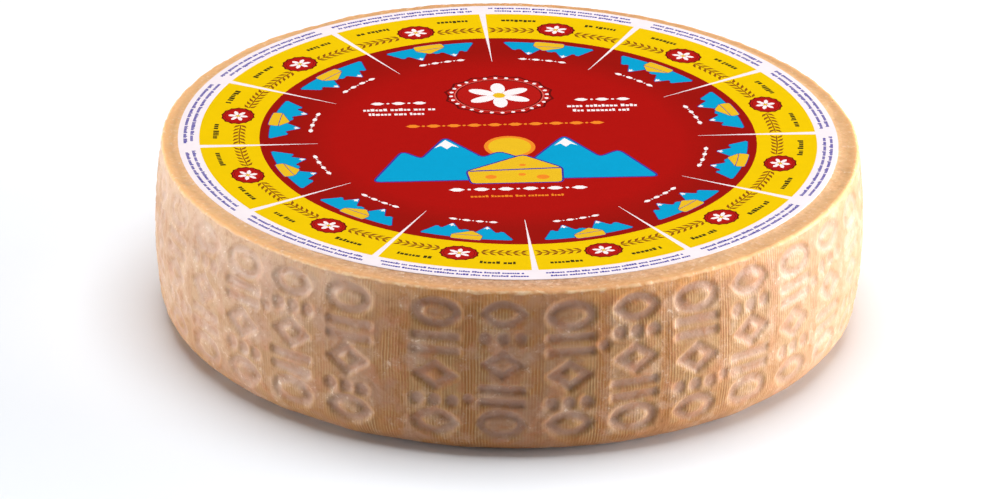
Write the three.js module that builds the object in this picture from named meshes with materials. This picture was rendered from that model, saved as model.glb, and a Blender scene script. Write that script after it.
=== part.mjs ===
// A whole wheel of hard cow's-milk cheese with a round printed label on its upper face.
// Millimetres, +Z up. The origin is the middle of the flat underside; the photographed side faces -Y.
import * as THREE from 'three';
import { mergeVertices } from 'three/addons/utils/BufferGeometryUtils.js';

// ---- driving dimensions -------------------------------------------------------------------------

// the wheel
const wheelRadius = 145;        // at the fullest part of the bulging side
const wheelHeight = 74.5;       // underside to upper face, without the label
const fullestHeight = 40;       // where the side bulges most
const topDrawIn = 2.2;          // how much smaller the radius is just under the upper edge
const bottomDrawIn = 1.8;       // and where the rounded lower edge begins
const topEdgeRadius = 1.5;      // a crisp edge, from the rim of the mould
const bottomEdgeRadius = 14.6;  // a soft edge, rounded while the young cheese settled

// the slow unevenness of a wheel pressed in a hoop
const outOfRound = [
  { lobes: 2, height: 0.25, turn: 0.6 },
  { lobes: 3, height: 0.2, turn: 2.1 },
  { lobes: 5, height: 0.12, turn: 4.0 },
];

// the marks that the hoop's inner band presses into the side, in upright columns
const columnCount = 33;
const columnPitch = THREE.MathUtils.degToRad(10.79);
const seamAngle = THREE.MathUtils.degToRad(-18.8);  // the wider gap where the band's ends meet
const columnWidth = 20;
const columnStrip = 21.4;       // the strip of side that carries a column
const columnMiddle = 39.95;     // height of a column's middle above the underside
const markDepth = 1.1;
const strokeWidth = 3.6;
const markGap = 1.65;           // between one mark and the next in a column
const ringHeight = 13.2;
const diamondHeight = 14.2;
const leafHeight = 12.2;
const barGap = 2.6;
const beadWidth = 5.6;          // in a row of three
const beadSpacing = 7.2;
const singleBeadWidth = 4.6;    // between two columns

// the label
const labelRadius = 135;
const labelThickness = 0.5;
const labelSides = 96;
const labelOffset = { x: -0.9, y: 3.1 };            // it was laid on a little off centre

// ---- the form of the wheel ----------------------------------------------------------------------

const stripLow = bottomEdgeRadius * 0.6;            // the marks reach a little into the rounding
const stripHigh = wheelHeight - topEdgeRadius;

function sideRadius(z) {
  const above = z > fullestHeight;
  const reach = above ? stripHigh - fullestHeight : fullestHeight - bottomEdgeRadius;
  const bulge = wheelRadius - (above ? topDrawIn : bottomDrawIn) * ((z - fullestHeight) / reach) ** 2;
  if (z >= bottomEdgeRadius) {
    return bulge;
  }
  const down = bottomEdgeRadius - z;
  return wheelRadius - bottomDrawIn - bottomEdgeRadius + Math.sqrt(bottomEdgeRadius ** 2 - down ** 2);
}

function unevenness(angle) {
  return outOfRound.reduce((sum, wave) => sum + wave.height * Math.sin(wave.lobes * angle + wave.turn), 0);
}

function columnAngle(column) {
  const seamGap = 2 * Math.PI - (columnCount - 1) * columnPitch;
  const turns = Math.floor(column / columnCount);
  return seamAngle + seamGap / 2 + (column % columnCount) * columnPitch + turns * 2 * Math.PI;
}

// A place on the side: along it from the middle of a column, up from the underside, and out of it.
function onSide(column, along, up, out) {
  const angle = columnAngle(column) + along / wheelRadius;
  const radius = sideRadius(up) + unevenness(angle) + out;
  return new THREE.Vector3(Math.sin(angle) * radius, -Math.cos(angle) * radius, up);
}

// ---- the marks: plain ornaments, drawn flat with x along the side and y up ------------------------

function oval(width, height, corners, firstCorner = 0, middle = new THREE.Vector2()) {
  return Array.from({ length: corners }, (unused, i) => {
    const turn = ((i + firstCorner) / corners) * 2 * Math.PI;
    return new THREE.Vector2(Math.cos(turn) * width / 2, Math.sin(turn) * height / 2).add(middle);
  });
}

function outlined(outer, inner) {
  const shape = new THREE.Shape(outer);
  shape.holes.push(new THREE.Path(inner.reverse()));
  return shape;
}

function ringMark() {
  const inset = 2 * strokeWidth;
  return [outlined(
    oval(columnWidth, ringHeight, 10, 0.5),
    oval(columnWidth - inset, ringHeight - inset, 8, 0.5),
  )];
}

function diamondMark() {
  const slope = Math.hypot(2 / columnWidth, 2 / diamondHeight);
  const inner = 1 - strokeWidth * slope;
  return [outlined(
    oval(columnWidth, diamondHeight, 4),
    oval(columnWidth * inner, diamondHeight * inner, 4),
  )];
}

function leafMark() {
  const leaf = (inset) => {
    const [tip, rise] = [columnWidth / 2 - 1.2 * inset, leafHeight / 2 - inset];
    const shoulder = columnWidth / 5 - inset / 3;
    return [[-tip, 0], [-shoulder, -rise], [shoulder, -rise], [tip, 0], [shoulder, rise], [-shoulder, rise]]
      .map(([x, y]) => new THREE.Vector2(x, y));
  };
  return [outlined(leaf(0), leaf(strokeWidth))];
}

function doubleBarMark() {
  const middle = (barGap + strokeWidth) / 2;
  const [side, half] = [columnWidth / 2, strokeWidth / 2];
  return [-middle, middle].map((y) => new THREE.Shape(
    [[-side, y - half], [side, y - half], [side, y + half], [-side, y + half]]
      .map(([x, z]) => new THREE.Vector2(x, z)),
  ));
}

function bead(x) {
  return new THREE.Shape(oval(beadWidth, beadWidth, 5, 0.25, new THREE.Vector2(x, 0)));
}

const marksFromBelow = [
  { draw: leafMark, height: leafHeight },
  { draw: () => [-beadSpacing, 0, beadSpacing].map(bead), height: beadWidth },
  { draw: diamondMark, height: diamondHeight },
  { draw: doubleBarMark, height: 2 * strokeWidth + barGap },
  { draw: ringMark, height: ringHeight },
];

function moved(outline, up) {
  return outline.map((point) => new THREE.Vector2(point.x, point.y + up));
}

// ---- surfaces, as lists of triangle corners -----------------------------------------------------

function facePoints(shape, out) {
  const geometry = new THREE.ShapeGeometry(shape).toNonIndexed();
  geometry.translate(0, 0, out);
  const position = geometry.attributes.position;
  return Array.from({ length: position.count }, (unused, i) => (
    new THREE.Vector3().fromBufferAttribute(position, i)
  ));
}

// The upright wall of a mark, under an outline that has the pressed-in floor on its left.
function wallPoints(outline, depth) {
  return outline.flatMap((a, i) => {
    const b = outline[(i + 1) % outline.length];
    const corners = [[a, 0], [b, 0], [b, -depth], [a, 0], [b, -depth], [a, -depth]];
    return corners.map(([point, out]) => new THREE.Vector3(point.x, point.y, out));
  });
}

// A flat piece of side with marks pressed into it: ground, walls, floors, and what stands inside a mark.
function markedPanel(corners, marks) {
  const ground = new THREE.Shape(corners);
  ground.holes = marks.map((mark) => new THREE.Path(mark.getPoints()));
  const points = facePoints(ground, 0);
  for (const mark of marks) {
    points.push(...facePoints(mark, -markDepth), ...wallPoints(mark.getPoints(), markDepth));
    for (const hole of mark.holes) {
      const outline = hole.getPoints();
      points.push(...wallPoints(outline, markDepth), ...facePoints(new THREE.Shape(outline), 0));
    }
  }
  return points;
}

// Flat coordinates are stored in 32 bits first, so that neighbouring panels meet in the same corners.
function bentRound(points, column) {
  return points.map((point) => (
    onSide(column, Math.fround(point.x), Math.fround(point.y), Math.fround(point.z))
  ));
}

// ---- the side, column by column -----------------------------------------------------------------

function columnOrder(column) {
  return (column % columnCount) % 2 === 0 ? marksFromBelow : [...marksFromBelow].reverse();
}

// The heights that part the marks of a column, from the lower end of the strip to its upper end.
function rowHeights(column) {
  const order = columnOrder(column);
  const total = order.reduce((sum, mark) => sum + mark.height + markGap, -markGap);
  let up = columnMiddle - total / 2 - markGap / 2;
  const rows = order.slice(0, -1).map((mark) => {
    up += mark.height + markGap;
    return up;
  });
  return [stripLow, ...rows, stripHigh];
}

function columnPoints(column) {
  const rows = rowHeights(column);
  const order = columnOrder(column);
  const side = columnStrip / 2;
  return order.flatMap((mark, i) => {
    const [low, high] = [rows[i], rows[i + 1]];
    const first = i === 0;
    const middle = first ? high - (mark.height + markGap) / 2 : low + (mark.height + markGap) / 2;
    const marks = mark.draw().map((shape) => {
      const placed = new THREE.Shape(moved(shape.getPoints(), middle));
      placed.holes = shape.holes.map((hole) => new THREE.Path(moved(hole.getPoints(), middle)));
      return placed;
    });
    const corners = [[-side, low], [side, low], [side, high], [-side, high]];
    return bentRound(markedPanel(corners.map(([x, y]) => new THREE.Vector2(x, y)), marks), column);
  });
}

// The plain strip between a column and the next one. Every other strip has a single bead in it.
function gapPoints(column) {
  const here = rowHeights(column);
  const next = rowHeights(column + 1);
  const left = columnStrip / 2;
  const right = (columnAngle(column + 1) - columnAngle(column)) * wheelRadius - columnStrip / 2;
  const beaded = column % 2 === 0 && column < columnCount - 1;
  const beadRow = column % 4 === 0 ? 1 : 3;
  return here.slice(0, -1).flatMap((low, i) => {
    const corners = [[left, low], [right, next[i]], [right, next[i + 1]], [left, here[i + 1]]];
    const outline = corners.map(([x, y]) => new THREE.Vector2(x, y));
    const middle = outline.reduce((sum, point) => sum.add(point), new THREE.Vector2()).divideScalar(4);
    const singleBead = oval(singleBeadWidth, singleBeadWidth, 5, 0.25, middle);
    const marks = beaded && i === beadRow ? [new THREE.Shape(singleBead)] : [];
    return bentRound(markedPanel(outline, marks), column);
  });
}

// A band of the wheel turned from a profile, with corners where the columns' strips have theirs.
function turnedPoints(profile) {
  const side = columnStrip / 2;
  const edges = Array.from({ length: 2 * columnCount + 1 }, (unused, i) => (
    columnAngle(Math.floor(i / 2)) + Math.fround(i % 2 === 0 ? -side : side) / wheelRadius
  ));
  const place = (angle, point) => {
    const radius = point.x === 0 ? 0 : point.x + unevenness(angle);
    return new THREE.Vector3(Math.sin(angle) * radius, -Math.cos(angle) * radius, Math.fround(point.y));
  };
  return edges.slice(0, -1).flatMap((angle, i) => profile.slice(0, -1).flatMap((low, j) => {
    const high = profile[j + 1];
    const [a, b] = [place(angle, low), place(edges[i + 1], low)];
    const [c, d] = [place(edges[i + 1], high), place(angle, high)];
    return [a, b, c, a, c, d];
  }));
}

function lowerProfile() {
  const steps = 3;
  const fullTurn = Math.acos(1 - stripLow / bottomEdgeRadius);
  const points = [new THREE.Vector2(0, 0)];
  for (let i = 0; i < steps; i += 1) {
    const height = bottomEdgeRadius * (1 - Math.cos(fullTurn * i / steps));
    points.push(new THREE.Vector2(sideRadius(height), height));
  }
  points.push(new THREE.Vector2(sideRadius(Math.fround(stripLow)), stripLow));
  return points;
}

function upperProfile() {
  const steps = 2;
  const edge = sideRadius(Math.fround(stripHigh));
  const points = [];
  for (let i = 0; i <= steps; i += 1) {
    const turn = (i / steps) * Math.PI / 2;
    points.push(new THREE.Vector2(
      edge - topEdgeRadius * (1 - Math.cos(turn)),
      stripHigh + topEdgeRadius * Math.sin(turn),
    ));
  }
  points.push(new THREE.Vector2(0, wheelHeight));
  return points;
}

// ---- the pieces ---------------------------------------------------------------------------------

// Corners that fall together become one, and triangles with no area are dropped.
function closedGeometry(points) {
  const welded = mergeVertices(new THREE.BufferGeometry().setFromPoints(points), 1e-3);
  const index = welded.index.array;
  const kept = [];
  for (let i = 0; i < index.length; i += 3) {
    const [a, b, c] = [index[i], index[i + 1], index[i + 2]];
    if (a !== b && b !== c && c !== a) {
      kept.push(a, b, c);
    }
  }
  welded.setIndex(kept);
  welded.computeVertexNormals();
  return welded;
}

function cheeseWheel() {
  const points = [...turnedPoints(lowerProfile()), ...turnedPoints(upperProfile())];
  for (let column = 0; column < columnCount; column += 1) {
    points.push(...columnPoints(column), ...gapPoints(column));
  }
  const rind = new THREE.MeshStandardMaterial({ color: 0xd9b48c, roughness: 0.72, metalness: 0 });
  const mesh = new THREE.Mesh(closedGeometry(points), rind);
  mesh.name = 'cheese_wheel';
  return mesh;
}

function paperLabel() {
  const geometry = new THREE.CylinderGeometry(labelRadius, labelRadius, labelThickness, labelSides);
  geometry.rotateX(Math.PI / 2);
  const paper = new THREE.MeshStandardMaterial({ color: 0xb51c16, roughness: 0.5, metalness: 0 });
  const mesh = new THREE.Mesh(geometry, paper);
  mesh.name = 'label';
  mesh.position.set(labelOffset.x, labelOffset.y, wheelHeight + labelThickness / 2);
  return mesh;
}

const cheese = new THREE.Group();
cheese.add(cheeseWheel(), paperLabel());

export default cheese;
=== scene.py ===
import math

import bmesh
import bpy
import numpy as np
from mathutils import Matrix, Vector, geometry, noise


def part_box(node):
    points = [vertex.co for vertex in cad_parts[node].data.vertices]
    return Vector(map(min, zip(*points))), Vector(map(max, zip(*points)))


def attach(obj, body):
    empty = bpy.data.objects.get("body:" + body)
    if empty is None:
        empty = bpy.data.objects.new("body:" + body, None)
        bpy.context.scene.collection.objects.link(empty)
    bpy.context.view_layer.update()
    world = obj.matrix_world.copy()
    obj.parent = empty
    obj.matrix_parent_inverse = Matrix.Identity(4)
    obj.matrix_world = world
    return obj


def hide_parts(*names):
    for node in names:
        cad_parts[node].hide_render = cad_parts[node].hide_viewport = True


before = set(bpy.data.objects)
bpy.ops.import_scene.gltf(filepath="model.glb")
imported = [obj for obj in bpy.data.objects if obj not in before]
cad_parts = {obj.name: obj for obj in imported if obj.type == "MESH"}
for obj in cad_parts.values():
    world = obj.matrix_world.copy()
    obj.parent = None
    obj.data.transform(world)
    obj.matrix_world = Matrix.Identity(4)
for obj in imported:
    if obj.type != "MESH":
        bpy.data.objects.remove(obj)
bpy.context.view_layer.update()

# ---- the photographer's table ------------------------------------------------------------------
# A white laminate table under soft boxes: two low ones on the right, a low one on the left, a wide one
# overhead and a weak one beyond the wheel. None is in front, so the table lights most of the near side.

MM = 0.001                              # a millimetre, in the metres of the scene


def linear(hex_colour):
    """An sRGB colour such as "#D9B48C" as linear red, green, blue and alpha."""
    parts = [int(hex_colour[i:i + 2], 16) / 255 for i in (1, 3, 5)]
    return tuple(p / 12.92 if p <= 0.04045 else ((p + 0.055) / 1.055) ** 2.4 for p in parts) + (1.0,)


def add_node(tree, kind, inputs=(), **settings):
    """Adds a node with its settings. An input is linked to a socket or to a node's first output in use,
    or takes the value given."""
    made = tree.nodes.new(kind)
    for name, value in settings.items():
        setattr(made, name, value)
    for name, value in dict(inputs).items():
        if isinstance(value, bpy.types.Node):
            value = next(output for output in value.outputs if output.enabled)
        if isinstance(value, bpy.types.NodeSocket):
            tree.links.new(value, made.inputs[name])
        else:
            made.inputs[name].default_value = value
    return made


def new_material(name):
    """An empty material with its tree."""
    material = bpy.data.materials.new(name)
    material.use_nodes = True
    material.node_tree.nodes.clear()
    return material, material.node_tree


# White laminate, wiped clean: matt, with a trace of unevenness in the white. The noise is measured in
# widths of the table.
table_half_width = 8000 * MM
cloud_width = 5333 * MM
white_laminate, tree = new_material("white_laminate")
cloud = add_node(tree, "ShaderNodeTexNoise", {"Scale": 2 * table_half_width / cloud_width, "Detail": 2.0})
white = add_node(tree, "ShaderNodeMix", {
    0: cloud, 6: linear("#E7EBF0"), 7: linear("#EBEEF3"),
}, data_type="RGBA")
shader = add_node(tree, "ShaderNodeBsdfPrincipled", {
    "Base Color": white, "Roughness": 0.7, "Specular IOR Level": 0.2,
})
add_node(tree, "ShaderNodeOutputMaterial", {"Surface": shader})

table_mesh = bpy.data.meshes.new("table")
table_mesh.from_pydata(
    [(x * table_half_width, y * table_half_width, 0) for x, y in ((-1, -1), (1, -1), (1, 1), (-1, 1))],
    [], [(0, 1, 2, 3)],
)
table = bpy.data.objects.new("table", table_mesh)
table.data.materials.append(white_laminate)
bpy.context.collection.objects.link(table)

# A soft box stands so many degrees round from the right and up, at a distance in metres.
soft_boxes = [
    # name, round, up, distance, width, height, power
    ("right_box", 0, 5, 2.0, 1.2, 0.3, 60),
    ("right_rear_box", 20, 8, 2.0, 1.2, 0.5, 38),
    ("left_box", 180, 5, 2.0, 1.2, 0.3, 40),
    ("overhead_box", 90, 88, 2.0, 1.7, 1.7, 49),
    ("far_box", 90, 50, 2.4, 2.2, 1.0, 2),
]
for name, turn, up, distance, width, height, power in soft_boxes:
    lamp = bpy.data.lights.new(name, "AREA")
    lamp.shape = "RECTANGLE"
    lamp.size, lamp.size_y = width, height
    lamp.energy = power
    turn, up = math.radians(turn), math.radians(up)
    place = Vector((math.cos(turn) * math.cos(up), math.sin(turn) * math.cos(up), math.sin(up))) * distance
    lamp_object = bpy.data.objects.new(name, lamp)
    lamp_object.location = place
    lamp_object.rotation_euler = (-place).to_track_quat("-Z", "Y").to_euler()
    bpy.context.collection.objects.link(lamp_object)

room = bpy.data.worlds.new("room")
room.use_nodes = True
room_light = room.node_tree.nodes["Background"]
room_light.inputs["Color"].default_value = linear("#FFFFFF")
room_light.inputs["Strength"].default_value = 0.01
bpy.context.scene.world = room
bpy.context.scene.view_settings.view_transform = "Standard"

camera_pitch = math.radians(24.9)
camera_roll = math.radians(0.96)        # the table runs down a little to the right
camera_distance = 5.8                   # metres
frame_width = 1000                      # pixels
wheel_scale = 2441                      # pixels to a metre at the middle of the wheel
aim_right, aim_up = -0.0035, -0.0084    # the middle of the frame, from the middle of the wheel
wheel_middle = Vector((0, 0, 0.036))
towards_camera = Vector((0, -math.cos(camera_pitch), math.sin(camera_pitch)))
camera_up = Vector((0, math.sin(camera_pitch), math.cos(camera_pitch)))
camera_data = bpy.data.cameras.new("camera")
camera_data.lens = camera_data.sensor_width * wheel_scale * camera_distance / frame_width
camera_data.clip_end = 40
camera = bpy.data.objects.new("camera", camera_data)
camera_aim = wheel_middle + Vector((aim_right, 0, 0)) + camera_up * aim_up
look = (-towards_camera).to_track_quat("-Z", "Y").to_matrix().to_4x4()
camera.matrix_world = (
    Matrix.Translation(camera_aim + towards_camera * camera_distance) @ look
    @ Matrix.Rotation(camera_roll, 4, "Z")
)
bpy.context.collection.objects.link(camera)
bpy.context.scene.camera = camera

# ---- the wheel of cheese -----------------------------------------------------------------------
# One uncut wheel of hard cow's-milk cheese. It was pressed in a hoop whose ribbed inner band left fine
# upright ribs and 33 columns of stamped ornaments in its side, and then aged until the rind dried.

# All sizes from here on are in millimetres. The meshes and materials turn them to metres with MM.
wheel_low, wheel_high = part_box("cheese_wheel")
wheel_radius = 145.0
wheel_height = (wheel_high.z - wheel_low.z) / MM
fullest_height = 40.0
top_draw_in, bottom_draw_in = 2.2, 1.8
top_edge, bottom_edge = 1.5, 14.6       # radii of the crisp upper edge and the soft lower one
out_of_round = [(2, 0.25, 0.6), (3, 0.2, 2.1), (5, 0.12, 4.0)]     # lobes, height, turn

column_count = 33
column_pitch = math.radians(10.79)
seam_angle = math.radians(-18.8)        # the wider gap where the ends of the band met
column_middle = 39.95
column_width = 20.0
stroke = 3.6
mark_depth = 1.1
mark_gap = 1.65
leaf_height, diamond_height, ring_height = 12.2, 14.2, 13.2
bar_step = 6.2                          # from one bar of a pair to the other
bead_radius, bead_step = 2.8, 7.2       # the three beads of a row
lone_bead_radius = 2.3
lone_bead_heights = (27, 50)            # lone beads stand between the columns, low and high by turns


def side_radius(z):
    """The radius of the wheel at a height, down to the underside."""
    above = z > fullest_height
    reach = np.where(above, wheel_height - top_edge - fullest_height, fullest_height - bottom_edge)
    draw_in = np.where(above, top_draw_in, bottom_draw_in)
    bulge = wheel_radius - draw_in * ((z - fullest_height) / reach) ** 2
    down = np.clip(bottom_edge - z, 0, bottom_edge)
    rounding = wheel_radius - bottom_draw_in - bottom_edge + np.sqrt(bottom_edge ** 2 - down ** 2)
    return np.where(z < bottom_edge, rounding, bulge)


def unevenness(angle):
    """How far the side stands out of the round at an angle."""
    return sum(height * np.sin(lobes * angle + turn) for lobes, height, turn in out_of_round)


def column_angle(column):
    """The angle of a column's middle, counted from the seam."""
    seam_gap = 2 * math.pi - (column_count - 1) * column_pitch
    return seam_angle + seam_gap / 2 + column * column_pitch


def along_side(angles, angle):
    """How far along the side each angle is from another one."""
    return ((angles - angle + math.pi) % (2 * math.pi) - math.pi) * wheel_radius


# Each ornament is a distance from the edge of its stroke, less than 0 inside the stroke.
def oval_distance(x, y, half_width, half_height):
    tiny = 1e-6                         # keeps the middle from dividing by 0
    reach = np.hypot(x / half_width, y / half_height) + tiny
    slope = np.hypot(x / half_width ** 2, y / half_height ** 2) / reach + tiny
    return (reach - 1) / slope


def ring_distance(x, y):
    return abs(oval_distance(x, y, (column_width - stroke) / 2, (ring_height - stroke) / 2)) - stroke / 2


def diamond_distance(x, y):
    blunt = 0.8                         # cut off each side corner
    slope = math.hypot(2 / column_width, 2 / diamond_height)
    scale = 1 - stroke / 2 * slope
    line = (abs(x) * 2 / column_width + abs(y) * 2 / diamond_height - scale) / slope
    return np.maximum(abs(line) - stroke / 2, abs(x) - column_width / 2 + blunt)


def leaf_distance(x, y):
    half_width, half_height = column_width / 2, leaf_height / 2
    radius = (half_width ** 2 + half_height ** 2) / (2 * half_height)
    outside = np.hypot(x, abs(y) + radius - half_height) - radius
    return abs(outside + stroke / 2) - stroke / 2


def bars_distance(x, y):
    corner = 1.3
    across = abs(abs(y) - bar_step / 2) - (stroke / 2 - corner)
    along = abs(x) - (column_width / 2 - corner)
    return np.hypot(np.maximum(along, 0), np.maximum(across, 0)) - corner


def beads_distance(x, y):
    return np.hypot(abs(abs(x) - bead_step / 2) - bead_step / 2, y) - bead_radius


def lone_bead_distance(x, y):
    return np.hypot(x, y) - lone_bead_radius


marks_from_below = [
    (leaf_distance, leaf_height),
    (beads_distance, 2 * bead_radius),
    (diamond_distance, diamond_height),
    (bars_distance, bar_step + stroke),
    (ring_distance, ring_height),
]
# The hoop pressed hardest on the near side, just right of its middle, and least towards the left and right.
press_turns = [-180, -90, -60, -20, 12, 30, 50, 90, 180]           # degrees round from the near side
press_forces = [0.8, 0.62, 0.75, 1.1, 1.15, 0.85, 0.65, 0.6, 0.8]
press = np.random.default_rng(11)


def press_marks(angles, heights):
    """How far each place of the side is pressed, from 0 on the ground to 1 on the floor of a mark,
    the depth of that mark in mm, and the low lip of rind that its edge pushed up, from 0 to 1.
    The rows of the arrays are angles and the columns heights."""
    pressed = np.zeros((len(angles), len(heights)))
    depth, lip = np.full_like(pressed, mark_depth), np.zeros_like(pressed)
    rise, fall = 1.1, 0.9               # the wall of a mark, outside and inside the edge of its stroke
    lip_away, lip_width = 1.5, 0.6
    reach_along, reach_up = 13, 10      # no mark reaches further from its middle
    tilt, slip = 1.2, 0.25              # how far a stamp sat off its place, in degrees and mm

    def stamp(distance, angle, height, force):
        turn = math.radians(press.normal(0, tilt))
        along = along_side(angles, angle)
        near = np.flatnonzero(abs(along) < reach_along)
        level = np.flatnonzero(abs(heights - height) < reach_up)
        x, y = np.meshgrid(along[near], heights[level] - height, indexing="ij")
        x, y = x * math.cos(turn) + y * math.sin(turn), y * math.cos(turn) - x * math.sin(turn)
        away = distance(x, y)
        wall = np.clip((rise - away) / (rise + fall), 0, 1)
        wall = wall * wall * (3 - 2 * wall)
        place = np.ix_(near, level)
        deeper = wall > pressed[place]
        depth[place] = np.where(deeper, mark_depth * force, depth[place])
        pressed[place] = np.where(deeper, wall, pressed[place])
        lip[place] = np.maximum(lip[place], np.exp(-((away - lip_away) / lip_width) ** 2) * force)

    for column in range(column_count):
        angle = column_angle(column)
        force = np.interp((math.degrees(angle) + 180) % 360 - 180, press_turns, press_forces)
        order = marks_from_below if column % 2 == 0 else marks_from_below[::-1]
        total = sum(height + mark_gap for _, height in order) - mark_gap
        low = column_middle - total / 2
        for distance, height in order:
            slip_along, slip_up = press.normal(0, slip, 2)
            mark_force = force * press.uniform(0.8, 1.08)
            stamp(distance, angle + slip_along / wheel_radius, low + height / 2 + slip_up, mark_force)
            low += height + mark_gap
        if column % 2 == 0 and column < column_count - 1:
            lone_height = lone_bead_heights[column // 2 % 2]
            stamp(lone_bead_distance, angle + column_pitch / 2, lone_height, 0.8 * force)
    return pressed, depth, lip * (1 - pressed)


def half_section():
    """The wheel's half section from near the middle of the underside, out, up and in again over the top."""
    lower_points, side_points, upper_points = 17, 65, 6
    turn = np.linspace(0, math.pi / 2, lower_points)
    low_radius = float(side_radius(np.array(bottom_edge)))
    lower = np.column_stack([
        low_radius - bottom_edge + bottom_edge * np.sin(turn), bottom_edge * (1 - np.cos(turn)),
    ])
    heights = np.linspace(bottom_edge, wheel_height - top_edge, side_points)[1:]
    side = np.column_stack([side_radius(heights), heights])
    turn = np.linspace(0, math.pi / 2, upper_points)[1:]
    upper = np.column_stack([
        side[-1, 0] - top_edge * (1 - np.cos(turn)), heights[-1] + top_edge * np.sin(turn),
    ])
    inner_radius = 90                   # a fan of triangles closes the wheel inside it
    face_radii = [140.3, 139.2, 138, 136.8, 135.6, 134.4, 133.2, 131.5, 129, inner_radius]
    under_radii = [inner_radius, 118]
    face = np.array([(radius, wheel_height) for radius in face_radii])
    under = np.array([(radius, 0.0) for radius in under_radii])
    return np.vstack([under, lower, side, upper, face])


columns_round = 960
angles = np.arange(columns_round) * 2 * math.pi / columns_round
section = half_section()
lean = np.gradient(section, axis=0)
out = np.column_stack([lean[:, 1], -lean[:, 0]])
out /= np.linalg.norm(out, axis=1)[:, None]

marks_from, marks_to = 5, wheel_height - 1
on_side = (section[:, 1] > marks_from) & (section[:, 1] < marks_to)
pressed, depth, lip = np.zeros((3, columns_round, len(section)))
pressed[:, on_side], depth[:, on_side], lip[:, on_side] = press_marks(angles, section[on_side, 1])

# The stamps' plates lay closer on the rind than the band between them, and left it paler.
plate_low, plate_high = 7, 72
plate_fade, plate_side_fade = 3, 1.8
off_column = np.min([abs(along_side(angles, column_angle(c))) for c in range(column_count)], axis=0)
under_plate = np.clip((column_width / 2 + plate_side_fade - off_column) / plate_side_fade, 0, 1)
above_low = np.clip((section[:, 1] - plate_low) / plate_fade, 0, 1)
below_high = np.clip((plate_high - section[:, 1]) / plate_fade, 0, 1)
plates = under_plate[:, None] * (above_low * below_high)[None, :]

# A hand-turned wheel has low lumps all over. They die out under the label and on the underside.
lump_sizes = [(24, 0.36), (7, 0.18)]    # width, height
lump_fade, flat_height = 4, 0.5         # beside the label, and above the underside
label_low, label_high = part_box("label")
label_middle = (label_low + label_high) / 2 / MM
label_radius = (label_high.x - label_low.x) / 2 / MM
label_top = label_high.z / MM
sine, cosine = np.sin(angles)[:, None], -np.cos(angles)[:, None]
radius = section[None, :, 0] + unevenness(angles)[:, None]
x, y, z = sine * radius, cosine * radius, np.broadcast_to(section[None, :, 1], radius.shape)
past_label = np.hypot(x - label_middle.x, y - label_middle.y) - label_radius
upward = np.clip(out[None, :, 1], 0, 1)
on_face = upward > 0.5
calm = np.where(on_face, np.clip(past_label / lump_fade, 0, 1), 1) * (z > flat_height)
lumps = np.array([
    sum(noise.noise(Vector(point) / width) * height for width, height in lump_sizes)
    for point in np.stack([x, y, z], axis=-1).reshape(-1, 3)
]).reshape(x.shape)

# The face dips a little beside the label and rises to the edge, whose crest is nicked all round.
dip_depth, dip_end, dip_fade = 0.35, 141, 2
crest_radius, crest_width = 142.3, 1.8
crest_drop, crest_height = 0.5, 1.2
long_nicks, short_nicks = 22, 70        # to a radius of the wheel: about 6.6 and 2.1 mm each
short_share = 0.7                       # of the long nicks' depth
nick_depth, lip_height = 0.28, 0.16
dip = -dip_depth * upward * np.clip(past_label / dip_fade, 0, 1)
dip = dip * np.clip((dip_end - radius) / dip_fade, 0, 1)
crest = np.exp(-((z - wheel_height + crest_drop) / crest_height) ** 2)
crest = crest * np.exp(-((radius - crest_radius) / crest_width) ** 2)
nicks = np.array([
    noise.noise(Vector((math.sin(a), math.cos(a), 0)) * long_nicks)
    + short_share * noise.noise(Vector((math.sin(a), math.cos(a), 2)) * short_nicks)
    for a in angles
])[:, None]
relief = lumps * calm + dip - pressed * depth + lip * lip_height + crest * nicks * nick_depth
x = x + sine * out[None, :, 0] * relief
y = y + cosine * out[None, :, 0] * relief
z = z + out[None, :, 1] * relief

# The section's rows are joined round the wheel, and a fan closes it at the middle, below and above.
points = np.stack([x, y, z], axis=-1).reshape(-1, 3) * MM
rows = len(section)
here = np.arange(columns_round)[:, None] * rows
there = np.roll(here, -1, axis=0)
step = np.arange(rows - 1)[None, :]
quads = np.stack([here + step, there + step, there + step + 1, here + step + 1], axis=-1).reshape(-1, 4)
middle_below, middle_above = len(points), len(points) + 1
points = np.vstack([points, [(0, 0, 0), (0, 0, wheel_height * MM)]])
neighbours = list(zip(here[:, 0].tolist(), there[:, 0].tolist()))
below = [(middle_below, b, a) for a, b in neighbours]
above = [(middle_above, a + rows - 1, b + rows - 1) for a, b in neighbours]
wheel_mesh = bpy.data.meshes.new("wheel_of_cheese")
wheel_mesh.from_pydata(points.tolist(), [], quads.tolist() + below + above)
wheel_mesh.shade_smooth()
for name, values in (("pressed", pressed), ("plates", plates)):
    layer = wheel_mesh.attributes.new(name, "FLOAT", "POINT")
    layer.data.foreach_set("value", np.append(values.reshape(-1), [0, 0]).astype(np.float32))

# Natural dry rind, rubbed with a little oil: soft sheen, ochre ground with fine upright ribs from the
# hoop's band, smoother and greyer where a mark pressed it, paler where dry bloom was left on it.
# A Map Range takes what lies between its inputs 1 and 2 to between 3 and 4. A Mix has its share at
# input 0 and its two colours at 6 and 7.
dry_rind, tree = new_material("dry_oiled_rind")
where = add_node(tree, "ShaderNodeTexCoord").outputs["Object"]
parts = add_node(tree, "ShaderNodeSeparateXYZ", {0: where})
across, away, height = parts.outputs["X"], parts.outputs["Y"], parts.outputs["Z"]
mark = add_node(tree, "ShaderNodeAttribute", attribute_name="pressed").outputs["Fac"]
plate = add_node(tree, "ShaderNodeAttribute", attribute_name="plates").outputs["Fac"]
backwards = add_node(tree, "ShaderNodeMath", {0: away, 1: -1.0}, operation="MULTIPLY")
around = add_node(tree, "ShaderNodeMath", {0: across, 1: backwards}, operation="ARCTAN2")
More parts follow.
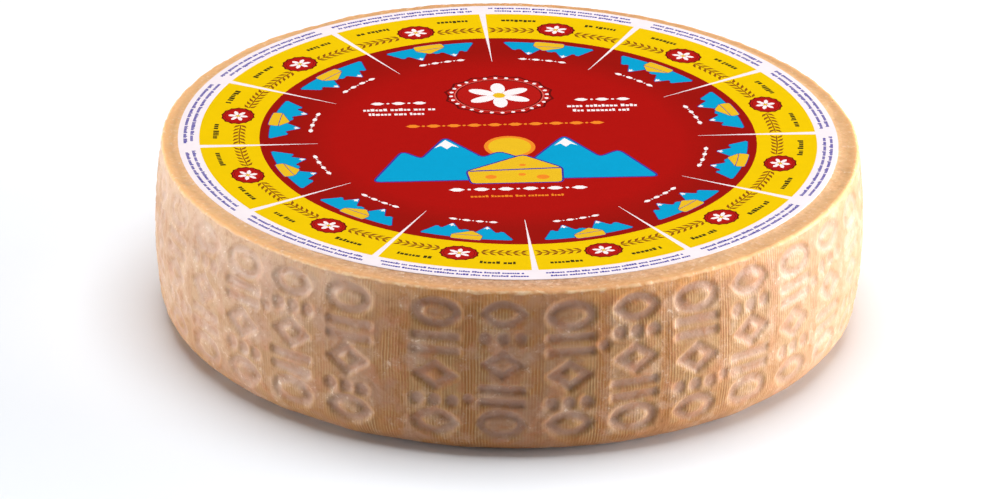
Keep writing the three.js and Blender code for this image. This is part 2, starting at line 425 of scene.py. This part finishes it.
off_middle = add_node(tree, "ShaderNodeMath", {0: across, 1: 2.0}, operation="POWER")
off_middle = add_node(tree, "ShaderNodeMath", {0: away, 1: away, 2: off_middle}, operation="MULTIPLY_ADD")
off_middle = add_node(tree, "ShaderNodeMath", {0: off_middle}, operation="SQRT")

# The ribs are a wave round the wheel, which wanders by a rib or so over 22 mm. The threads in them are
# noise drawn out upright, 1.1 mm across and 14 mm long.
rib_pitch = 1.29
ribs_round = round(2 * math.pi * wheel_radius / rib_pitch)
thread_width, thread_stretch = 1.111, 12.5
wander = add_node(tree, "ShaderNodeTexNoise", {"Vector": where, "Scale": 1 / (22.22 * MM), "Detail": 2.0})
wander = add_node(tree, "ShaderNodeMath", {0: wander, 1: 9.0}, operation="MULTIPLY")
rib_turn = add_node(tree, "ShaderNodeMath", {
    0: around, 1: float(ribs_round), 2: wander,
}, operation="MULTIPLY_ADD")
rib = add_node(tree, "ShaderNodeMath", {0: rib_turn}, operation="SINE")
thread_across = add_node(tree, "ShaderNodeMath", {0: around, 1: wheel_radius}, operation="MULTIPLY")
thread_up = add_node(tree, "ShaderNodeMath", {0: height, 1: thread_stretch * MM}, operation="DIVIDE")
thread_place = add_node(tree, "ShaderNodeCombineXYZ", {0: thread_across, 2: thread_up})
thread = add_node(tree, "ShaderNodeTexNoise", {
    "Vector": thread_place, "Scale": 1 / thread_width, "Detail": 3.0, "Roughness": 0.6,
})
# The band touched the side only, so the ribs fade over the upper edge and low on the rounding. They are
# worn away in patches of about 17 mm and where a mark pressed them flat, one rib stands out more than
# the next in runs about 4 mm wide, and the left side was pressed less, so its ribs are faint.
below_crest = add_node(tree, "ShaderNodeMapRange", {
    0: height, 1: 74.2 * MM, 2: 73 * MM, 3: 0.0, 4: 1.0,
}, interpolation_type="SMOOTHSTEP")
above_base = add_node(tree, "ShaderNodeMapRange", {
    0: height, 1: 1 * MM, 2: 6 * MM, 3: 0.0, 4: 1.0,
}, interpolation_type="SMOOTHSTEP")
left_open = add_node(tree, "ShaderNodeMapRange", {0: mark, 1: 0.3, 2: 1.0, 3: 1.0, 4: 0.1})
wear = add_node(tree, "ShaderNodeTexNoise", {"Vector": where, "Scale": 1 / (16.67 * MM), "Detail": 3.0})
left_by_wear = add_node(tree, "ShaderNodeMapRange", {0: wear, 1: 0.36, 2: 0.6, 3: 0.25, 4: 1.0})
rib_run = add_node(tree, "ShaderNodeTexNoise", {"Vector": thread_place, "Scale": 1 / 4.167, "Detail": 2.0})
rib_run = add_node(tree, "ShaderNodeMapRange", {0: rib_run, 1: 0.36, 2: 0.6, 3: 0.35, 4: 1.0})
pressed_here = add_node(tree, "ShaderNodeMapRange", {0: across, 1: -140 * MM, 2: -50 * MM, 3: 0.35, 4: 1.0})
ribbed = below_crest
for share in (above_base, left_open, left_by_wear, rib_run, pressed_here):
    ribbed = add_node(tree, "ShaderNodeMath", {0: ribbed, 1: share}, operation="MULTIPLY")

# Colour. Tan ground, cloudy at 26 mm, more golden between the stamps' plates and under the crest, but
# less so on the left.
clouds = add_node(tree, "ShaderNodeTexNoise", {
    "Vector": where, "Scale": 1 / (26.32 * MM), "Detail": 4.0, "Roughness": 0.55,
})
tan = add_node(tree, "ShaderNodeMix", {
    0: clouds, 6: linear("#A07041"), 7: linear("#B68D5C"),
}, data_type="RGBA")
golden_zone = add_node(tree, "ShaderNodeMapRange", {
    0: height, 1: 64 * MM, 2: 69.5 * MM, 3: 0.0, 4: 0.8,
}, interpolation_type="SMOOTHSTEP")
golden_side = add_node(tree, "ShaderNodeMapRange", {0: across, 1: -80 * MM, 2: -20 * MM, 3: 0.15, 4: 1.0})
golden_zone = add_node(tree, "ShaderNodeMath", {0: golden_zone, 1: golden_side}, operation="MULTIPLY")
golden_gap = add_node(tree, "ShaderNodeMapRange", {0: plate, 1: 0.0, 2: 1.0, 3: 0.8, 4: 0.0})
gap_side = add_node(tree, "ShaderNodeMapRange", {0: across, 1: -80 * MM, 2: -20 * MM, 3: 0.4, 4: 1.0})
golden_gap = add_node(tree, "ShaderNodeMath", {0: golden_gap, 1: gap_side}, operation="MULTIPLY")
golden_share = add_node(tree, "ShaderNodeMath", {0: golden_zone, 1: golden_gap}, operation="MAXIMUM")
golden = add_node(tree, "ShaderNodeMapRange", {
    0: height, 1: 66 * MM, 2: 72 * MM, 3: 0.0, 4: 1.0,
}, interpolation_type="SMOOTHSTEP")
golden = add_node(tree, "ShaderNodeMix", {
    0: golden, 6: linear("#A66A30"), 7: linear("#CE8E4E"),
}, data_type="RGBA")
ground = add_node(tree, "ShaderNodeMix", {0: golden_share, 6: tan, 7: golden}, data_type="RGBA")
# Painted shade between the ribs in darker brown, and painted highlights on their crowns in pale yellow.
rib_valley = add_node(tree, "ShaderNodeMapRange", {0: rib, 1: 1.0, 2: -1.0, 3: 0.0, 4: 1.0})
thread_valley = add_node(tree, "ShaderNodeMapRange", {0: thread, 1: 0.35, 2: 0.65, 3: 0.0, 4: 1.0})
painted_rib_shade = rib_valley
for share in (thread_valley, ribbed, 0.65):
    painted_rib_shade = add_node(tree, "ShaderNodeMath", {0: painted_rib_shade, 1: share}, operation="MULTIPLY")
ground = add_node(tree, "ShaderNodeMix", {0: painted_rib_shade, 6: ground, 7: linear("#794D25")}, data_type="RGBA")
painted_rib_highlight = add_node(tree, "ShaderNodeMapRange", {0: rib, 1: 0.2, 2: 1.0, 3: 0.0, 4: 0.7})
painted_rib_highlight = add_node(tree, "ShaderNodeMath", {0: painted_rib_highlight, 1: ribbed}, operation="MULTIPLY")
ground = add_node(tree, "ShaderNodeMix", {0: painted_rib_highlight, 6: ground, 7: linear("#C2A174")}, data_type="RGBA")
# Pink-grey floors in the marks, and pink-grey smears where the ribs are worn, fewer of them on the right.
floor_grey = add_node(tree, "ShaderNodeMix", {
    0: clouds, 6: linear("#9F7762"), 7: linear("#B48D77"),
}, data_type="RGBA")
smear = add_node(tree, "ShaderNodeMapRange", {0: wear, 1: 0.38, 2: 0.5, 3: 0.6, 4: 0.0})
smear_side = add_node(tree, "ShaderNodeMapRange", {0: across, 1: 0.0, 2: 50 * MM, 3: 1.0, 4: 0.3})
for share in (smear_side, below_crest):
    smear = add_node(tree, "ShaderNodeMath", {0: smear, 1: share}, operation="MULTIPLY")
ground = add_node(tree, "ShaderNodeMix", {0: smear, 6: ground, 7: floor_grey}, data_type="RGBA")
floor_share = add_node(tree, "ShaderNodeMapRange", {0: mark, 1: 0.3, 2: 1.0, 3: 0.0, 4: 0.85})
rind = add_node(tree, "ShaderNodeMix", {0: floor_share, 6: ground, 7: floor_grey}, data_type="RGBA")
# Salmon blotches about 8 mm across.
blotch = add_node(tree, "ShaderNodeTexNoise", {
    "Vector": where, "Scale": 1 / (8 * MM), "Detail": 3.0, "Roughness": 0.6,
})
blotch_share = add_node(tree, "ShaderNodeMapRange", {0: blotch, 1: 0.5, 2: 0.66, 3: 0.0, 4: 0.5})
rind = add_node(tree, "ShaderNodeMix", {0: blotch_share, 6: rind, 7: linear("#B17048")}, data_type="RGBA")
# Pale dry bloom. A veil lies on the left, thin near the base, and another under the crest on the left. The
# greyer veil on the right is partly bloom and partly painted sheen where the right lamps fall. Tan blotches
# of 4 mm show through the veils.
bloom_and_sheen_veil = add_node(tree, "ShaderNodeMapRange", {0: across, 1: -145 * MM, 2: -40 * MM, 3: 0.45, 4: 0.0})
off_base = add_node(tree, "ShaderNodeMapRange", {0: height, 1: 8 * MM, 2: 24 * MM, 3: 0.3, 4: 1.0})
bloom_and_sheen_veil = add_node(tree, "ShaderNodeMath", {0: bloom_and_sheen_veil, 1: off_base}, operation="MULTIPLY")
rind = add_node(tree, "ShaderNodeMix", {0: bloom_and_sheen_veil, 6: rind, 7: linear("#BDA18C")}, data_type="RGBA")
under_crest = add_node(tree, "ShaderNodeMapRange", {
    0: height, 1: 57.5 * MM, 2: 67 * MM, 3: 0.0, 4: 0.3,
}, interpolation_type="SMOOTHSTEP")
bloom_and_sheen_veil = add_node(tree, "ShaderNodeMapRange", {0: across, 1: -70 * MM, 2: -30 * MM, 3: 1.0, 4: 0.0})
bloom_and_sheen_veil = add_node(tree, "ShaderNodeMath", {0: bloom_and_sheen_veil, 1: under_crest}, operation="MULTIPLY")
rind = add_node(tree, "ShaderNodeMix", {0: bloom_and_sheen_veil, 6: rind, 7: linear("#D9BDA5")}, data_type="RGBA")
# Painted sheen of the right lamps, over a little bloom: the right side turns greyer.
bloom_and_sheen_veil = add_node(tree, "ShaderNodeMapRange", {0: across, 1: 70 * MM, 2: 125 * MM, 3: 0.0, 4: 0.35})
rind = add_node(tree, "ShaderNodeMix", {0: bloom_and_sheen_veil, 6: rind, 7: linear("#AC957C")}, data_type="RGBA")
small_blotch = add_node(tree, "ShaderNodeTexNoise", {
    "Vector": where, "Scale": 1 / (3.846 * MM), "Detail": 3.0, "Roughness": 0.6,
})
small_share = add_node(tree, "ShaderNodeMapRange", {0: small_blotch, 1: 0.52, 2: 0.68, 3: 0.0, 4: 0.5})
rind = add_node(tree, "ShaderNodeMix", {0: small_share, 6: rind, 7: linear("#996538")}, data_type="RGBA")
# Clouds of bloom about 11 mm across lie all over. Pale flecks of 2 mm lie in them and near the crest: partly
# flecks of bloom and partly painted glints of a wet shine and of the crest catching the light.
bloom = add_node(tree, "ShaderNodeTexNoise", {
    "Vector": where, "Scale": 1 / (11.11 * MM), "Detail": 5.0, "Roughness": 0.65,
})
bloom_side = add_node(tree, "ShaderNodeMapRange", {0: across, 1: -145 * MM, 2: -50 * MM, 3: 0.54, 4: 0.48})
bloom = add_node(tree, "ShaderNodeMath", {0: bloom, 1: bloom_side}, operation="ADD")
bloom_share = add_node(tree, "ShaderNodeMapRange", {0: bloom, 1: 0.98, 2: 1.3, 3: 0.0, 4: 0.6})
rind = add_node(tree, "ShaderNodeMix", {0: bloom_share, 6: rind, 7: linear("#D5B9A4")}, data_type="RGBA")
fleck = add_node(tree, "ShaderNodeTexNoise", {
    "Vector": where, "Scale": 1 / (1.923 * MM), "Detail": 3.0, "Roughness": 0.55,
})
fleck_and_glint_share = add_node(tree, "ShaderNodeMapRange", {0: fleck, 1: 0.6, 2: 0.68, 3: 0.0, 4: 0.75})
fleck_and_glint_where = add_node(tree, "ShaderNodeMapRange", {0: bloom, 1: 0.95, 2: 1.2, 3: 0.0, 4: 0.8})
near_crest = add_node(tree, "ShaderNodeMapRange", {0: height, 1: 71.5 * MM, 2: 73.5 * MM, 3: 0.0, 4: 0.45})
fleck_and_glint_where = add_node(tree, "ShaderNodeMath", {0: fleck_and_glint_where, 1: near_crest}, operation="MAXIMUM")
fleck_and_glint_share = add_node(tree, "ShaderNodeMath", {0: fleck_and_glint_share, 1: fleck_and_glint_where}, operation="MULTIPLY")
# The upper face and its crest were rubbed most: orange on the crest, freckled tan inside it, and paler
# and yellower towards the left and right.
freckle = add_node(tree, "ShaderNodeTexNoise", {
    "Vector": where, "Scale": 1 / (2.381 * MM), "Detail": 4.0, "Roughness": 0.7,
})
freckle_shade = add_node(tree, "ShaderNodeMapRange", {0: freckle, 1: 0.35, 2: 0.65, 3: 0.0, 4: 1.0})
face_tan = add_node(tree, "ShaderNodeMix", {
    0: freckle_shade, 6: linear("#AC7D59"), 7: linear("#D1A686"),
}, data_type="RGBA")
to_crest = add_node(tree, "ShaderNodeMapRange", {0: off_middle, 1: 135 * MM, 2: 140.5 * MM, 3: 0.0, 4: 0.7})
face_tan = add_node(tree, "ShaderNodeMix", {
    0: to_crest, 6: face_tan, 7: linear("#D09458"),
}, data_type="RGBA")
to_side = add_node(tree, "ShaderNodeMath", {0: across}, operation="ABSOLUTE")
to_side = add_node(tree, "ShaderNodeMapRange", {0: to_side, 1: 20 * MM, 2: 120 * MM, 3: 0.0, 4: 0.5})
face_tan = add_node(tree, "ShaderNodeMix", {
    0: to_side, 6: face_tan, 7: linear("#EDBD86"),
}, data_type="RGBA")
ragged_height = add_node(tree, "ShaderNodeMath", {0: blotch, 1: 3 * MM, 2: height}, operation="MULTIPLY_ADD")
face_share = add_node(tree, "ShaderNodeMapRange", {
    0: ragged_height, 1: 74.4 * MM, 2: 75.7 * MM, 3: 0.0, 4: 1.0,
}, interpolation_type="SMOOTHSTEP")
rind = add_node(tree, "ShaderNodeMix", {0: face_share, 6: rind, 7: face_tan}, data_type="RGBA")
# The very edge has a pale broken line less than 1 mm wide, fainter on the right: partly knocked and rubbed
# pale, and partly a painted highlight where the edge turns up to the light.
edge_rub_and_highlight = add_node(tree, "ShaderNodeMapRange", {
    0: ragged_height, 1: 74.5 * MM, 2: 75.1 * MM, 3: 0.0, 4: 1.0,
})
edge_end = add_node(tree, "ShaderNodeMapRange", {
    0: off_middle, 1: 141.8 * MM, 2: 142.6 * MM, 3: 0.0, 4: 1.0,
})
edge_breaks = add_node(tree, "ShaderNodeMapRange", {0: small_blotch, 1: 0.38, 2: 0.58, 3: 0.1, 4: 0.7})
edge_side = add_node(tree, "ShaderNodeMapRange", {0: across, 1: 30 * MM, 2: 90 * MM, 3: 1.0, 4: 0.3})
for share in (edge_end, edge_breaks, edge_side):
    edge_rub_and_highlight = add_node(tree, "ShaderNodeMath", {0: edge_rub_and_highlight, 1: share}, operation="MULTIPLY")
rind = add_node(tree, "ShaderNodeMix", {0: edge_rub_and_highlight, 6: rind, 7: linear("#E6CBA4")}, data_type="RGBA")
# Pale flecks, partly bloom and partly painted glints.
rind = add_node(tree, "ShaderNodeMix", {0: fleck_and_glint_share, 6: rind, 7: linear("#EBD6BF")}, data_type="RGBA")
# Dark pits up to 1.7 mm across, in patches of 25 mm.
pit_place = add_node(tree, "ShaderNodeTexVoronoi", {"Vector": where, "Scale": 1 / (7.692 * MM)})
pit_size = add_node(tree, "ShaderNodeTexNoise", {"Vector": where, "Scale": 1 / (25 * MM)})
pit_size = add_node(tree, "ShaderNodeMapRange", {0: pit_size, 1: 0.54, 2: 0.75, 3: 0.0, 4: 0.11})
pit = add_node(tree, "ShaderNodeMath", {0: pit_place, 1: pit_size}, operation="LESS_THAN")
pit_share = add_node(tree, "ShaderNodeMath", {0: pit, 1: 0.6}, operation="MULTIPLY")
rind = add_node(tree, "ShaderNodeMix", {0: pit_share, 6: rind, 7: linear("#5E4027")}, data_type="RGBA")

# Height in mm: the ribs and threads, a fine grain all over, low blisters and the pits.
grain = add_node(tree, "ShaderNodeTexNoise", {
    "Vector": where, "Scale": 1 / (1.4286 * MM), "Detail": 4.0, "Roughness": 0.6,
})
bumps = add_node(tree, "ShaderNodeMath", {0: rib, 1: 0.03}, operation="MULTIPLY")
bumps = add_node(tree, "ShaderNodeMath", {0: thread, 1: 0.13, 2: bumps}, operation="MULTIPLY_ADD")
bumps = add_node(tree, "ShaderNodeMath", {0: bumps, 1: ribbed}, operation="MULTIPLY")
for pattern, rise in ((grain, 0.1), (blotch, 0.5), (small_blotch, 0.3), (pit, -0.3)):
    bumps = add_node(tree, "ShaderNodeMath", {0: pattern, 1: rise, 2: bumps}, operation="MULTIPLY_ADD")
surface = add_node(tree, "ShaderNodeBump", {"Height": bumps, "Distance": MM, "Strength": 1.0})
gloss = add_node(tree, "ShaderNodeMapRange", {0: mark, 1: 0.0, 2: 1.0, 3: 0.55, 4: 0.46})
shader = add_node(tree, "ShaderNodeBsdfPrincipled", {
    "Base Color": rind,
    "Normal": surface,
    "Roughness": gloss,
    "IOR": 1.46,                        # fat and dried protein
    "Specular IOR Level": 0.3,
    "Subsurface Weight": 0.4,
    "Subsurface Radius": (1.0, 0.6, 0.35),
    "Subsurface Scale": 2 * MM,
    "Sheen Weight": 0.05,               # the dust of bloom, seen at a low angle
    "Sheen Roughness": 0.45,
    "Sheen Tint": linear("#FFF4E8"),
})
add_node(tree, "ShaderNodeOutputMaterial", {"Surface": shader})

wheel = bpy.data.objects.new("wheel_of_cheese", wheel_mesh)
wheel.data.materials.append(dry_rind)
bpy.context.collection.objects.link(wheel)
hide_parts("cheese_wheel")
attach(wheel, "root")

# ---- the printed label -------------------------------------------------------------------------
# A round of coated paper, printed in flat inks and glued on with casein while the wheel was young, a
# little off centre. The print is plain shapes: rings, rays, hills, a sun, a wedge, rosettes and blocks.

inks = {
    "paper": "#E6DBDF", "yellow": "#DFB800", "deep red": "#8E0E07", "red": "#A10D08", "blue": "#0394BF",
    "gold": "#DAAE1E", "violet": "#3C3090", "orange": "#E07F22", "white": "#EBE0E0", "brown": "#85490E",
    "dark": "#3A3010", "rosette": "#A81510", "rosette shade": "#650B08", "rosette edge": "#CC5A50",
}
yellow_radius, red_radius = 126.3, 101.7
red_from, deep_red_from = 70, 88        # the red gets deeper from one radius to the other
print_turn = math.radians(5.3)          # the label was laid on turned by this much
outlines, outline_inks = [], []


def disc(x, y, radius, corners=40, height=None):
    """A round, or an oval where its half height is given too."""
    turn = np.arange(corners) * 2 * math.pi / corners
    return np.column_stack([x + np.cos(turn) * radius, y + np.sin(turn) * (height or radius)])


def block(x, y, width, height):
    return np.array([(x, y), (x + width, y), (x + width, y + height), (x, y + height)], float)


def rounded(corners, radius, steps=4):
    """A closed outline with each corner turned in a curve that starts about radius before it."""
    corners = np.array(corners, float)
    most = 0.45                         # of an edge that a corner's curve takes up
    made = []
    for before, corner, after in zip(np.roll(corners, 1, axis=0), corners, np.roll(corners, -1, axis=0)):
        start, end = before - corner, after - corner
        start *= min(radius / np.linalg.norm(start), most)
        end *= min(radius / np.linalg.norm(end), most)
        for t in np.linspace(0, 1, steps):
            made.append(corner + start * (1 - t) ** 2 + end * t ** 2)
    return np.array(made)


def flat(x, y, turn=0.0, scale=1.0):
    """Places a drawing on the label at x, y, turned and scaled."""
    def place(points):
        across, up = points[:, 0] * scale, points[:, 1] * scale
        return np.column_stack([
            x + across * math.cos(turn) - up * math.sin(turn),
            y + across * math.sin(turn) + up * math.cos(turn),
        ])
    return place


def on_ring(radius, angle, scale=1.0):
    """Bends a drawing round the label at a radius, with its upper side towards the middle."""
    def place(points):
        turn = angle + points[:, 0] * scale / radius
        reach = radius - points[:, 1] * scale
        return np.column_stack([np.sin(turn) * reach, -np.cos(turn) * reach])
    return place


def paint(ink, outline, place=flat(0, 0)):
    """Lays an outline of ink over what is printed already. Long edges get more corners, so they can bend."""
    longest = 9
    corners = []
    for start, end in zip(outline, np.roll(outline, -1, axis=0)):
        parts = max(1, math.ceil(np.linalg.norm(end - start) / longest))
        corners.extend(start + (end - start) * np.arange(parts)[:, None] / parts)
    corners = place(np.array(corners))
    x, y = corners.T
    turns_left = np.sum(x * np.roll(y, -1) - np.roll(x, -1) * y) > 0
    outlines.append(corners if turns_left else corners[::-1])
    outline_inks.append(ink)


def line(ink, points, width, place, closed=True):
    """A line of one width along some points, as blocks with round joints."""
    points = np.array(points, float)
    ends = np.roll(points, -1, axis=0) if closed else points[1:]
    for start, end in zip(points, ends):
        along = (end - start) / max(np.linalg.norm(end - start), 1e-6)
        side = np.array([-along[1], along[0]]) * width / 2
        paint(ink, np.array([start - side, end - side, end + side, start + side]), place)
        paint(ink, disc(*end, width / 2, 10), place)


def type_row(ink, length, height, place, seed, gap=0.18):
    """Blocks in groups as long as words, standing for a row of small type that can't be read. The gap and
    the blocks' own sizes are shares of the height."""
    draw = np.random.default_rng(seed)
    x = -length / 2
    while x < length / 2 - height:
        for _ in range(draw.integers(3, 9)):
            width = height * draw.uniform(0.4, 0.75)
            if x + width > length / 2:
                break
            paint(ink, block(x, -height / 2, width, height * draw.choice([0.75, 0.75, 0.75, 1.0])), place)
            x += width + gap * height
        x += 0.45 * height


def garland(ink, length, height, place):
    """A chain of pointed leaves with a dot between one and the next."""
    count = round(length / (2.4 * height))
    step = length / count
    leaf = np.array([(-0.85, 0), (-0.3, 0.4), (0.3, 0.4), (0.85, 0), (0.3, -0.4), (-0.3, -0.4)]) * height
    for number in range(count):
        x = (number - (count - 1) / 2) * step
        paint(ink, leaf + (x, 0), place)
        if number > 0:
            paint(ink, disc(x - step / 2, 0, 0.19 * height, 12), place)


def hills_and_wedge(place, fine):
    """A blue ridge with snow on it, and a wedge of cheese in front, edged in violet."""
    ridge = rounded([
        (-63, -20), (63, -20), (48, 8), (39, 1), (25, 24), (8, -2),
        (-5, 9), (-13, 3), (-28, 25), (-40, 3), (-48, 11),
    ], 3.0, 4 if fine else 2)
    wedge = rounded([(-20, -24), (20, -24), (21, -9), (5, 5), (-21, -11)], 2.0, 3 if fine else 2)
    snow = np.array([(0, 0), (-0.66, -1), (-0.28, -0.72), (0, -1.15), (0.3, -0.76), (0.66, -1)])
    edge = 1.8
    line("violet", ridge, edge, place)
    paint("blue", ridge, place)
    for peak, fall in (((25, 22), 8.0), ((-28, 23), 8.5)):
        paint("white", snow * fall + peak, place)
    line("violet", wedge, edge, place)
    paint("gold", wedge, place)
    line("violet", [(-20, -11), (20.5, -9.2)], edge * 0.6, place, closed=False)
    if fine:
        for x, y, size in ((-11, -17.5, 2.6), (3, -15.5, 1.7), (12, -18.5, 2.9), (4, -5.5, 1.5)):
            paint("orange", disc(x, y, size, 20, size * 0.8), place)


def rosette(place, width, height, fine):
    """A red rosette with a scalloped edge, a rim with a ring of dots, and a six-petalled flower. All
    but the dots is sized in shares of the width and height."""
    scallops, dots, petals = 14, 28, 6
    scallop_depth, dot_radius = 0.07, 0.85
    edge_corners = scallops * (8 if fine else 4)
    rim_corners, petal_corners = (60, 14) if fine else (20, 6)
    turn = np.arange(edge_corners) * 2 * math.pi / edge_corners
    reach = 1 - scallop_depth * abs(np.cos(scallops / 2 * turn))
    edge = np.column_stack([np.cos(turn) * reach * width / 2, np.sin(turn) * reach * height / 2])

    def oval(ink, share):
        paint(ink, disc(0, 0, share * width, rim_corners, share * height), place)

    rim = 0.39                          # of the width or height, from the middle
    paint("rosette shade", edge, place)
    paint("rosette", edge * (0.95 if fine else 0.9), place)
    if fine:
        oval("rosette edge", rim * 1.03)
        for angle in np.arange(dots) * 2 * math.pi / dots:
            middle = (math.cos(angle) * 0.43 * width, math.sin(angle) * 0.43 * height)
            paint("white", disc(*middle, dot_radius, 10), place)
    oval("rosette shade", rim)
    oval("rosette", rim * 0.96)
    leaf = disc(0.17 * width, 0, 0.13 * width, petal_corners, 0.065 * width)
    for petal in range(petals):
        angle = (petal + 0.5) * 2 * math.pi / petals
        paint("white", flat(0, 0, angle)(leaf) * (1, height / width), place)
    paint("gold", disc(0, 0, 0.055 * width, petal_corners), place)


def sprig(place, way):
    """Brown leaves in pairs along a stem, pointing right where way is 1 and left where it is -1."""
    leaf = np.array([(0, 0), (1.4, 0.4), (3.2, 2.5), (0.9, 1.8)])
    line("brown", [(-9, 0), (9, 0)], 0.5, place, closed=False)
    for x in np.arange(-8, 9, 3.2):
        for side in (-1, 1):
            paint("brown", (leaf * (1, side) + (x - 1.2, 0.2 * side)) * (way, 1), place)


# The fields of colour, from the edge in. The rings in the red are corners for its change of shade.
paint("paper", disc(0, 0, label_radius, 192))
paint("yellow", disc(0, 0, yellow_radius, 160))
paint("red", disc(0, 0, red_radius, 144))
for radius in (deep_red_from, 82, 78, 74, red_from):
    paint("red", disc(0, 0, radius, 96))

# Twelve like sectors parted by white rays that run to a point.
sector_count = 12
for sector in range(sector_count):
    angle = (sector + 0.5) * 2 * math.pi / sector_count
    ray = on_ring(102, angle - math.pi / sector_count)
    paint("paper", np.array([(-1.1, -25), (1.1, -25), (0.12, 24), (-0.12, 24)]), ray)
    hills_and_wedge(on_ring(92, angle, 0.29), fine=False)
    garland("white", 22, 2.2, on_ring(81, angle))
    rosette(on_ring(112.5, angle), 16.5, 14, fine=False)
    for side in (-1, 1):
        sprig(on_ring(110, angle + side * math.radians(9.2)), side)
        row = on_ring(119.5, angle + side * math.radians(8.2))
        type_row("dark", 15, 2.3, row, sector + 30 + 10 * side)

# The outer ring: two rows of tiny type in runs.
for radius, shift in ((129.2, 0.0), (132.0, 0.012)):
    for run in range(sector_count):
        angle = (run + 0.5) * 2 * math.pi / sector_count + shift
        type_row("violet", radius * 0.46, 1.5, on_ring(radius, angle), run + int(radius) * 7, 0.12)

# The middle of the label: a rosette between leaves, and below it the sun rising behind the hills.
rosette(flat(0, 44), 46, 40, fine=True)
for side in (-1, 1):
    garland("white", 26, 3.4, flat(side * 42, 38))
    type_row("white", 30, 2.3, flat(side * 42, 31.8), 104 + side)
    type_row("white", 26, 2.3, flat(side * 42, 27.4), 107 + side)
garland("orange", 84, 3.6, flat(0, 15))
for ink, radius in (("orange", 10.5), ("gold", 8.8)):
    paint(ink, disc(0, -7, radius, 44))
hills_and_wedge(flat(0, -20, 0, 0.92), fine=True)
garland("white", 60, 3.9, flat(0, -48))
type_row("orange", 40, 1.9, flat(0, -54.8), 102)

# One sheet of triangles whose edges follow every outline, with loose points between them so that it can
# wave. A triangle takes the ink laid down last.
spread_across, spread_up = 10.0, 9.0
spread_margin = 3                       # between the loose points and the edge
inside_only, closeness = 1, 1e-4
turned = [flat(0, 0, print_turn)(outline) for outline in outlines]
spread = [
    (x + (row % 2) * spread_across / 2, row * spread_up)
    for row in range(-14, 15) for x in np.arange(-130, 131, spread_across)
]
spread = np.array([point for point in spread if math.hypot(*point) < label_radius - spread_margin])
corners = np.vstack(turned + [spread])
starts = np.cumsum([0] + [len(outline) for outline in turned])
loops = [list(range(start, end)) for start, end in zip(starts[:-1], starts[1:])]
places, _, faces, _, _, face_outlines = geometry.delaunay_2d_cdt(
    [Vector(corner) for corner in corners], [], loops, inside_only, closeness, True,
)
ink_colours = {name: np.array(linear(colour)) for name, colour in inks.items()}
sheet = bmesh.new()
ink_layer = sheet.loops.layers.float_color.new("ink")


def ink_at(ink, x, y):
    """The red gets deeper from the middle of the label towards the sectors."""
    share = min(max((math.hypot(x, y) - red_from) / (deep_red_from - red_from), 0), 1) if ink == "red" else 0
    return ink_colours[ink] * (1 - share) + ink_colours["deep red"] * share


def sheet_height(x, y):
    """The paper lies on the cheese with low waves and turns down a trace at its edge."""
    wave_width, wave_height = 45, 0.16
    edge_width, edge_drop = 2.5, 0.12
    calm_width, calm_least = 8, 0.1     # the waves die out towards the edge
    below_top = 0.12
    to_edge = label_radius - math.hypot(x, y)
    wave = noise.noise(Vector((x, y, 0)) / wave_width) * wave_height
    past = max(0.0, edge_width - to_edge) / edge_width
    return label_top - below_top + wave * min(1.0, to_edge / calm_width + calm_least) - edge_drop * past ** 2


sheet_points = [
    sheet.verts.new(((x + label_middle.x) * MM, (y + label_middle.y) * MM, sheet_height(x, y) * MM))
    for x, y in places
]
for face, owners in zip(faces, face_outlines):
    made = sheet.faces.new([sheet_points[i] for i in face])
    for loop, corner in zip(made.loops, face):
        loop[ink_layer] = ink_at(outline_inks[max(owners)], *places[corner])
# The rim goes straight down to the cheese, and one face closes the back. Both are bare paper.
rim = [edge for edge in sheet.edges if edge.is_boundary]
for edge in rim:
    edge.smooth = False
below = bmesh.ops.extrude_edge_only(sheet, edges=rim)["geom"]
for point in (item for item in below if isinstance(item, bmesh.types.BMVert)):
    point.co.z = label_low.z
bottom = bmesh.ops.contextual_create(sheet, geom=[e for e in below if isinstance(e, bmesh.types.BMEdge)])
bmesh.ops.recalc_face_normals(sheet, faces=sheet.faces)
for face in sheet.faces:
    face.smooth = True
    if face in bottom["faces"] or abs(face.normal.z) < 0.5:
        for loop in face.loops:
            loop[ink_layer] = ink_colours["paper"]
label_mesh = bpy.data.meshes.new("printed_label")
sheet.to_mesh(label_mesh)
sheet.free()

# Coated paper: flat inks under a soft satin coat, with a mottle of 4 mm in the inks. The paper's fibre
# is far too fine to show, so it is drawn at 0.6 mm, and then it just shows in the gloss.
coated_paper, tree = new_material("coated_paper")
where = add_node(tree, "ShaderNodeTexCoord").outputs["Object"]
ink = add_node(tree, "ShaderNodeAttribute", attribute_name="ink")
mottle = add_node(tree, "ShaderNodeTexNoise", {"Vector": where, "Scale": 1 / (3.846 * MM), "Detail": 3.0})
mottle = add_node(tree, "ShaderNodeMapRange", {0: mottle, 1: 0.3, 2: 0.7, 3: 0.965, 4: 1.0})
printed = add_node(tree, "ShaderNodeVectorMath", {0: ink, 1: mottle}, operation="MULTIPLY")
fibre = add_node(tree, "ShaderNodeTexNoise", {"Vector": where, "Scale": 1 / (0.5556 * MM), "Detail": 3.0})
surface = add_node(tree, "ShaderNodeBump", {"Height": fibre, "Distance": 0.02 * MM})
shader = add_node(tree, "ShaderNodeBsdfPrincipled", {
    "Base Color": printed, "Normal": surface, "Roughness": 0.65, "IOR": 1.45, "Specular IOR Level": 0.04,
})
add_node(tree, "ShaderNodeOutputMaterial", {"Surface": shader})

label = bpy.data.objects.new("printed_label", label_mesh)
label.data.materials.append(coated_paper)
bpy.context.collection.objects.link(label)
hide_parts("label")
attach(label, "root")
